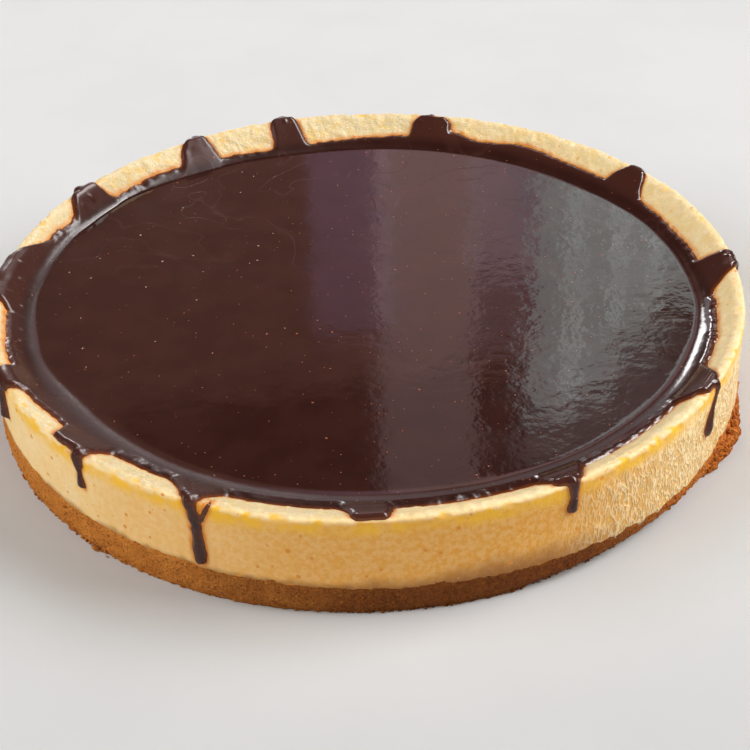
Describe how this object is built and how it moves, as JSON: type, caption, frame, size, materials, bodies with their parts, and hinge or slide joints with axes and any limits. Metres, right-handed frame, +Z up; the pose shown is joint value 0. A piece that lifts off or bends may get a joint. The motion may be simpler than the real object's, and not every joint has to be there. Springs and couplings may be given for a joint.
{
  "type": "chocolate cheesecake",
  "caption": "Whole round baked cheesecake on a biscuit base, its sunken middle filled with glossy dark ganache that runs over the rim in tongues and drips.",
  "frame": {"origin": "middle of the flat underside, where the cake rests", "axes": "+Z up through the cake's middle; the side with the longest drip faces -Y, the front of the picture"},
  "size_m": [0.2416, 0.2405, 0.0351],
  "materials": {
    "biscuit": "rough baked biscuit crumb, tan brown, granular and fully matt",
    "filling": "baked cheesecake, pale cream yellow, fine pores, soft sheen",
    "ganache": "set dark chocolate ganache, smooth and glossy"
  },
  "bodies": {
    "root": {"biscuit_base": "biscuit", "cheesecake_filling": "filling", "chocolate_ganache": "ganache"}
  },
  "joints": []
}
